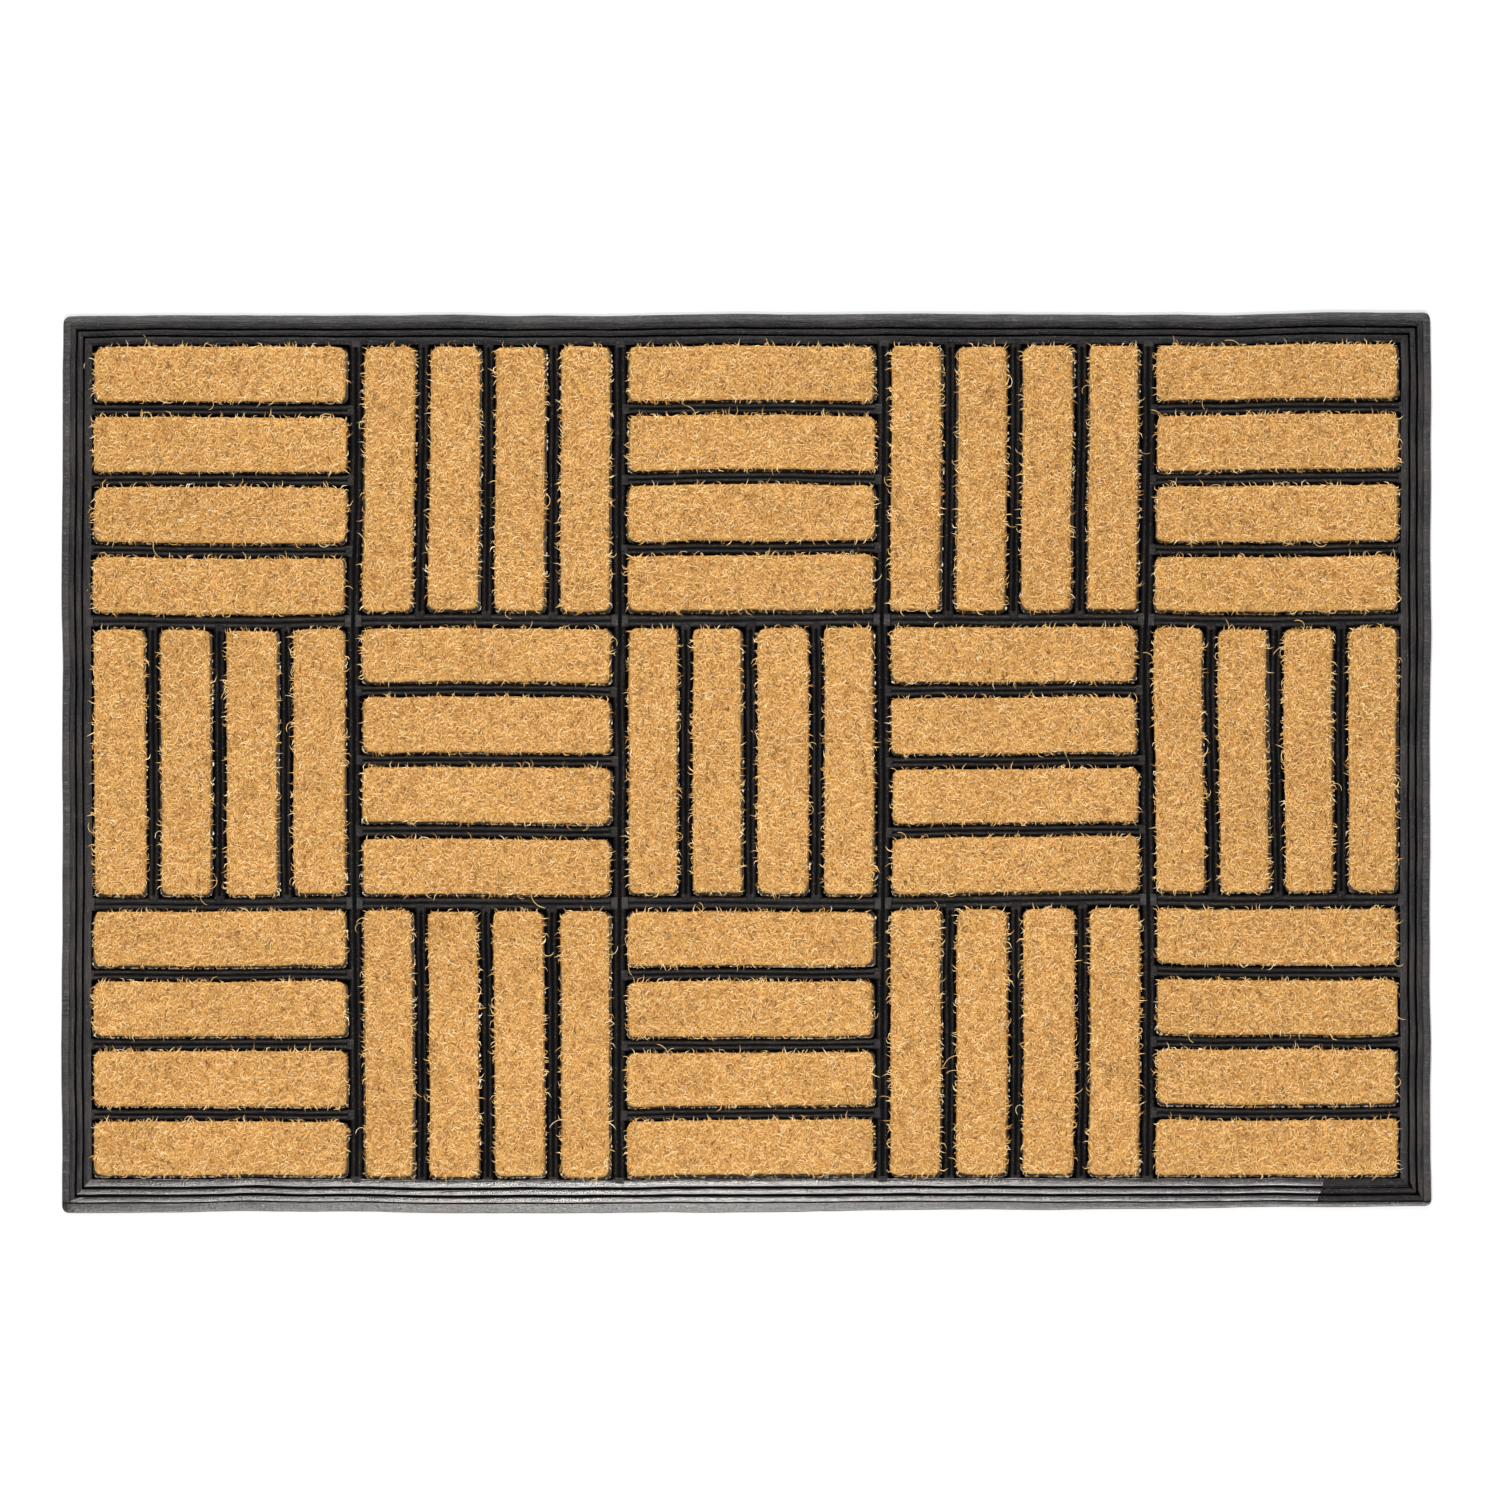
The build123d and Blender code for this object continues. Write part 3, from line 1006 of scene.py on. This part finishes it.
def scatter_kit(tree, surface, kit, top_density, side_density, sizes, tones, seed, foot, material, front_share=0.0):
    """Nodes that spread one kit over a surface and give the scattered mesh."""
    normal = tree.nodes.new("GeometryNodeInputNormal").outputs[0]
    split_normal = tree.nodes.new("ShaderNodeSeparateXYZ")
    tree.links.new(normal, split_normal.inputs[0])
    position = tree.nodes.new("GeometryNodeInputPosition").outputs[0]
    split_place = tree.nodes.new("ShaderNodeSeparateXYZ")
    tree.links.new(position, split_place.inputs[0])
    above_foot = field_math(tree, "GREATER_THAN", split_place.outputs[2], foot)
    upward = field_math(tree, "MAXIMUM", split_normal.outputs[2], 0.0)
    upward = field_math(tree, "POWER", upward, 4.0)
    density = field_math(tree, "MULTIPLY_ADD", upward, top_density - side_density)
    density.node.inputs[2].default_value = side_density
    density = field_math(tree, "MULTIPLY", density, above_foot)
    if front_share:
        front = field_math(tree, "MULTIPLY", split_normal.outputs[1], -front_share)
        front = field_math(tree, "ADD", front, 1 - front_share)
        density = field_math(tree, "MULTIPLY", density, field_math(tree, "MAXIMUM", front, 0.0))

    spread = tree.nodes.new("GeometryNodeDistributePointsOnFaces")
    tree.links.new(surface, spread.inputs["Mesh"])
    tree.links.new(density, spread.inputs["Density"])
    spread.inputs["Seed"].default_value = seed

    tone = tree.nodes.new("GeometryNodeStoreNamedAttribute")
    tone.data_type = "FLOAT"
    tone.domain = "POINT"
    tone.inputs["Name"].default_value = "tone"
    tree.links.new(spread.outputs["Points"], tone.inputs["Geometry"])
    tree.links.new(random_field(tree, tones[0], tones[1], seed + 1), tone.inputs["Value"])

    source = tree.nodes.new("GeometryNodeCollectionInfo")
    source.inputs["Collection"].default_value = kit
    source.inputs["Separate Children"].default_value = True
    source.inputs["Reset Children"].default_value = True

    turn = tree.nodes.new("FunctionNodeRotateRotation")
    turn.rotation_space = "LOCAL"
    tree.links.new(spread.outputs["Rotation"], turn.inputs[0])
    spin = tree.nodes.new("ShaderNodeCombineXYZ")
    tree.links.new(random_field(tree, 0.0, 2 * math.pi, seed + 2), spin.inputs[2])
    tree.links.new(spin.outputs[0], turn.inputs[1])

    put = tree.nodes.new("GeometryNodeInstanceOnPoints")
    tree.links.new(tone.outputs["Geometry"], put.inputs["Points"])
    tree.links.new(source.outputs[0], put.inputs["Instance"])
    put.inputs["Pick Instance"].default_value = True
    tree.links.new(turn.outputs[0], put.inputs["Rotation"])
    tree.links.new(random_field(tree, sizes[0], sizes[1], seed + 3), put.inputs["Scale"])

    real = tree.nodes.new("GeometryNodeRealizeInstances")
    tree.links.new(put.outputs[0], real.inputs[0])
    paint = tree.nodes.new("GeometryNodeSetMaterial")
    paint.inputs["Material"].default_value = material
    tree.links.new(real.outputs[0], paint.inputs["Geometry"])
    return paint.outputs[0]


def make_scatter(name, layers):
    """A node group that joins a surface with the layers scattered over it."""
    tree = bpy.data.node_groups.new(name, "GeometryNodeTree")
    tree.interface.new_socket("Geometry", in_out="INPUT", socket_type="NodeSocketGeometry")
    tree.interface.new_socket("Geometry", in_out="OUTPUT", socket_type="NodeSocketGeometry")
    surface = tree.nodes.new("NodeGroupInput").outputs[0]
    result = tree.nodes.new("NodeGroupOutput")
    gather = tree.nodes.new("GeometryNodeJoinGeometry")
    for layer in layers:
        tree.links.new(scatter_kit(tree, surface, **layer), gather.inputs[0])
    tree.links.new(surface, gather.inputs[0])
    tree.links.new(gather.outputs[0], result.inputs[0])
    return tree


def per_mm2(count):
    """Density in points for each square metre, from points for each square millimetre."""
    return count / (MM * MM)


# %% [markdown]
# ## Coir strips
# Each strip is cut from coir matting with rounded corners and a top that is soft and lumpy where tufts
# stand together. Four blocks of a cell get rounded corners, a Remesh modifier turns them into an even net
# of small faces, and noise raises the tufts. The fibres are then scattered over that body.

# %% Strip sizes
BODY_VOXEL = 1.4 * MM
BODY_SINK = 1.3 * MM
SPLAY = 0.15 * MM
PILE_LEAN = Vector((-0.35, 0.5, 0)) * MM
FIBRE_FOOT = 6.2 * MM
CORNER_ROUND = 2.6 * MM
TOP_ROUND = 0.9 * MM
tufts = cloud_texture("tufts", 4.2 * MM, depth=2)
edges = cloud_texture("edges", 3.0 * MM, depth=1)


# %% Model the strips of one cell
def make_strip_body(low, high):
    """One block with its upright corners and its top edge rounded."""
    block = add_block("strip", low, high)
    edit(block)
    pick_edges(block, lambda a, b: abs(a.z - b.z) > MM)
    bpy.ops.mesh.bevel(offset=CORNER_ROUND * draw.uniform(0.8, 1.5), segments=4, affect="EDGES")
    pick_faces(block, lambda center, normal: normal.z > 0.9)
    growth = [1 + 2 * SPLAY / (high[axis] - low[axis]) for axis in (0, 1)]
    bpy.ops.transform.resize(value=(*growth, 1), center_override=(low + high) / 2)
    bpy.ops.transform.translate(value=PILE_LEAN)
    bpy.ops.mesh.region_to_loop()
    bpy.ops.mesh.bevel(offset=TOP_ROUND, segments=2, affect="EDGES")
    close_edit()
    return block


def dissolve_underside(piece):
    """The underside lies flat on its backing, so it needs only one face for each strip."""
    edit(piece)
    floor_level = min(point.co.z for point in piece.data.vertices)
    pick_faces(piece, lambda center, normal: center.z < floor_level + 0.3 * MM and normal.z < -0.9)
    bpy.ops.mesh.dissolve_faces()
    close_edit()


def strip_blocks(cell, inset, low_z, high_z, builder):
    """The four strips of a cell, each built between its own corners."""
    blocks = []
    for index in range(STRIPS):
        low = Vector((0, 0, low_z))
        high = Vector((0, 0, high_z))
        along = cell["along"]
        across = cell["across"]
        low[along] = cell["coir_low"][along] + inset + draw.uniform(-0.3, 0.3) * MM
        high[along] = cell["coir_high"][along] - inset + draw.uniform(-0.3, 0.3) * MM
        start = cell["coir_low"][across] + index * cell["pitch"]
        low[across] = start + inset + draw.uniform(-0.35, 0.35) * MM
        high[across] = start + cell["strip_width"] - inset + draw.uniform(-0.35, 0.35) * MM
        blocks.append(builder(low, high))
    return blocks


def unwrap_from_above(piece, low, high):
    """A slanted view from above as a UV map, so that walls get room on it as well."""
    layer = piece.data.uv_layers.new(name="OFBake")
    size = max(high.x - low.x, high.y - low.y) + 14 * MM
    slant = 0.35
    points = piece.data.vertices
    for loop in piece.data.loops:
        place = points[loop.vertex_index].co
        layer.data[loop.index].uv = (
            (place.x - low.x + 5 * MM + slant * (place.z - low.z)) / size,
            (place.y - low.y + 5 * MM + slant * (place.z - low.z)) / size,
        )


def make_coir(row, column):
    """The four coir strips of a cell, with their fibres."""
    cell = cells[row, column]
    node = "coir_piles_" + cell_name(row, column)
    low = cell["coir_low"]
    high = cell["coir_high"]
    blocks = strip_blocks(cell, 0.1 * MM, low.z, high.z - BODY_SINK, make_strip_body)
    piece = join(blocks, node + "_fibre")
    remesh = piece.modifiers.new("even net", "REMESH")
    remesh.mode = "VOXEL"
    remesh.voxel_size = BODY_VOXEL
    apply_modifiers(piece)
    dissolve_underside(piece)
    piece.data.materials.clear()
    piece.data.materials.append(coir_body)
    piece.data.materials.append(coir_fibre)
    push(piece, tufts, 0.9 * MM, "NORMAL")
    push(piece, edges, 0.4 * MM, "NORMAL")
    let_creep(piece, 0)
    seed = 10 * (COLUMNS * row + column)
    layers = [
        dict(kit=fibre_kit, top_density=per_mm2(0.94), side_density=per_mm2(0.05), sizes=(0.7, 1.2),
             tones=(0.0, 1.0), seed=seed, foot=FIBRE_FOOT, material=coir_fibre),
        dict(kit=stray_kit, top_density=per_mm2(0.012), side_density=0.0, sizes=(0.7, 1.2),
             tones=(0.4, 1.0), seed=seed + 5, foot=FIBRE_FOOT, material=coir_fibre),
    ]
    scatter = piece.modifiers.new("fibres", "NODES")
    scatter.node_group = make_scatter(node + "_scatter", layers)
    apply_modifiers(piece)
    unwrap_from_above(piece, low, high)
    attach(piece, "root")
    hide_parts(node)
    return piece


for row in range(ROWS):
    for column in range(COLUMNS):
        coir = make_coir(row, column)
print("coir made, the last cell with", triangles(coir), "triangles")
for kit in (fibre_kit, stray_kit):
    for template in list(kit.objects):
        bpy.data.objects.remove(template)
    bpy.data.collections.remove(kit)

# %% [markdown]
# ## Pile backings
# The fibres are held in a thin backing that is a little wider than the pile. Where the strip was cut, the
# roots of its tufts show as a broken line of light bits along its foot. The bits are real, but their near-white colour
# is a painted highlight for light at the shaded foot.

# %% Make the backings
# Painted highlight: the roots are coloured far paler than the coir, nearly white, to stand in for light at the foot of
# the strip.
PAINTED_LIT_ROOT_COLOURS = [(0.0, (0.36, 0.24, 0.12)), (0.4, (0.84, 0.70, 0.48)), (1.0, (0.95, 0.92, 0.84))]
root_fibre, root_tree, root_shader = new_material("root_fibre")
root_tone = add_node(root_tree, "ShaderNodeAttribute", attribute_name="tone").outputs["Fac"]
root_tree.links.new(add_colour_ramp(root_tree, root_tone, PAINTED_LIT_ROOT_COLOURS), root_shader.inputs["Base Color"])
root_shader.inputs["Roughness"].default_value = 0.8


def make_root(name):
    """The cut end of a tuft: a flattened, eight-sided crumb."""
    select_only()
    bpy.ops.mesh.primitive_uv_sphere_add(segments=4, ring_count=2, radius=0.5 * MM)
    root = bpy.context.object
    root.name = name
    root.scale = (1.7, 1.0, 0.8)
    bpy.ops.object.transform_apply(location=True, rotation=True, scale=True)
    return root


def make_plate(low, high):
    """One backing plate with rounded corners."""
    plate = add_block("plate", low, high)
    edit(plate)
    pick_edges(plate, lambda a, b: abs(a.z - b.z) > MM)
    bpy.ops.mesh.bevel(offset=CORNER_ROUND, segments=4, affect="EDGES")
    close_edit()
    return plate


root_kit = bpy.data.collections.new("root_kit")
put_in_kit(make_root("root"), root_kit)


def make_backings(row, column):
    """The four backings of a cell, with the cut roots of their tufts."""
    cell = cells[row, column]
    node = "pile_backings_" + cell_name(row, column)
    low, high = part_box(node)
    overhang = low[cell["along"]] - cell["coir_low"][cell["along"]]
    plates = strip_blocks(cell, overhang + 0.15 * MM, low.z, high.z, make_plate)
    piece = join(plates, node + "_cloth")
    piece.data.materials.clear()
    piece.data.materials.append(backing_cloth)
    piece.data.materials.append(root_fibre)
    seed = 1000 + 10 * (COLUMNS * row + column)
    layer = dict(kit=root_kit, top_density=0.0, side_density=per_mm2(1.9), sizes=(0.5, 1.3),
                 tones=(0.0, 1.0), seed=seed, foot=low.z + 0.5 * MM, material=root_fibre, front_share=0.9)
    scatter = piece.modifiers.new("roots", "NODES")
    scatter.node_group = make_scatter(node + "_scatter", [layer])
    apply_modifiers(piece)
    let_creep(piece, 0)
    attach(piece, "root")
    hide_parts(node)
    return piece


for row in range(ROWS):
    for column in range(COLUMNS):
        backings = make_backings(row, column)
print("backings made, the last cell with", triangles(backings), "triangles")
for template in list(root_kit.objects):
    bpy.data.objects.remove(template)
bpy.data.collections.remove(root_kit)

# %% [markdown]
# ## Studio
# The mat lies on a plain white floor under a large soft light. A smaller softbox stands a little to the
# front, where only the front treads mirror it, and it gives them their silvery shine.

# %% Floor
select_only()
bpy.ops.mesh.primitive_plane_add(size=60, location=(0, 0, -0.02 * MM))
floor = bpy.context.object
floor.name = "floor"
floor_material, floor_tree, floor_shader = new_material("studio_floor")
floor_shader.inputs["Base Color"].default_value = (0.74, 0.74, 0.74, 1)
floor_shader.inputs["Roughness"].default_value = 0.9
floor_shader.inputs["Specular IOR Level"].default_value = 0.1
floor.data.materials.append(floor_material)


# %% Lights
def add_softbox(name, place, target, size, radiance, colour=(1, 1, 1)):
    """A rectangular softbox that shines at a target. Radiance 1 looks as bright as a lit white wall."""
    light = bpy.data.lights.new(name, "AREA")
    light.shape = "RECTANGLE"
    light.size = size[0]
    light.size_y = size[1]
    light.energy = radiance * math.pi * size[0] * size[1]
    light.color = colour
    lamp = bpy.data.objects.new(name, light)
    bpy.context.scene.collection.objects.link(lamp)
    lamp.location = place
    lamp.rotation_euler = (Vector(target) - Vector(place)).to_track_quat("-Z", "Y").to_euler()
    lamp.visible_camera = False
    return lamp


add_softbox("front_softbox", (-0.07, -0.395, 0.9), (0, -0.15, 0), (0.12, 0.20), 56.0, (1.0, 0.94, 0.87))
add_softbox("front_window", (0.9, -5.0, 5.0), (0, 0, 0), (3.5, 2.95), 14.0)
add_softbox("rear_window", (-0.35, 2.0, 1.8), (0, 0, 0), (1.33, 0.9), 22.0)

world = bpy.data.worlds.new("studio")
bpy.context.scene.world = world
world.use_nodes = True
world.node_tree.nodes["Background"].inputs["Color"].default_value = (1, 1, 1, 1)
world.node_tree.nodes["Background"].inputs["Strength"].default_value = 0.35

# %% [markdown]
# ## Camera
# A long lens from far above keeps the outline square. The camera leans a little to the front and to the
# right, which shows the front walls of the strips and hides the rear ones.

# %% Camera
VIEW_WIDTH = 657.9 * MM
VIEW_CENTER = Vector((1.75 * MM, 5.5 * MM, 0))
LEAN_FRONT = math.radians(4.6)
LEAN_RIGHT = math.radians(1.3)
camera_data = bpy.data.cameras.new("camera")
camera_data.lens = 1000
camera_data.sensor_width = 36
distance = VIEW_WIDTH * camera_data.lens / camera_data.sensor_width
to_camera = Vector((math.tan(LEAN_RIGHT), -math.tan(LEAN_FRONT), 1)).normalized()
camera = bpy.data.objects.new("camera", camera_data)
bpy.context.scene.collection.objects.link(camera)
camera.location = VIEW_CENTER + to_camera * distance
sideways = Vector((0, 1, 0)).cross(to_camera).normalized()
camera.rotation_euler = Matrix((sideways, to_camera.cross(sideways), to_camera)).transposed().to_euler()
camera_data.clip_start = 1
camera_data.clip_end = 100
bpy.context.scene.camera = camera
bpy.context.scene.view_settings.view_transform = "Standard"
print("camera", round(distance, 2), "m away")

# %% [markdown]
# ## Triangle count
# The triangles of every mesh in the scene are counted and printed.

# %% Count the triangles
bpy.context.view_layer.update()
total = sum(triangles(item) for item in bpy.data.objects if item.type == "MESH")
print("the whole scene comes to", total, "triangles")
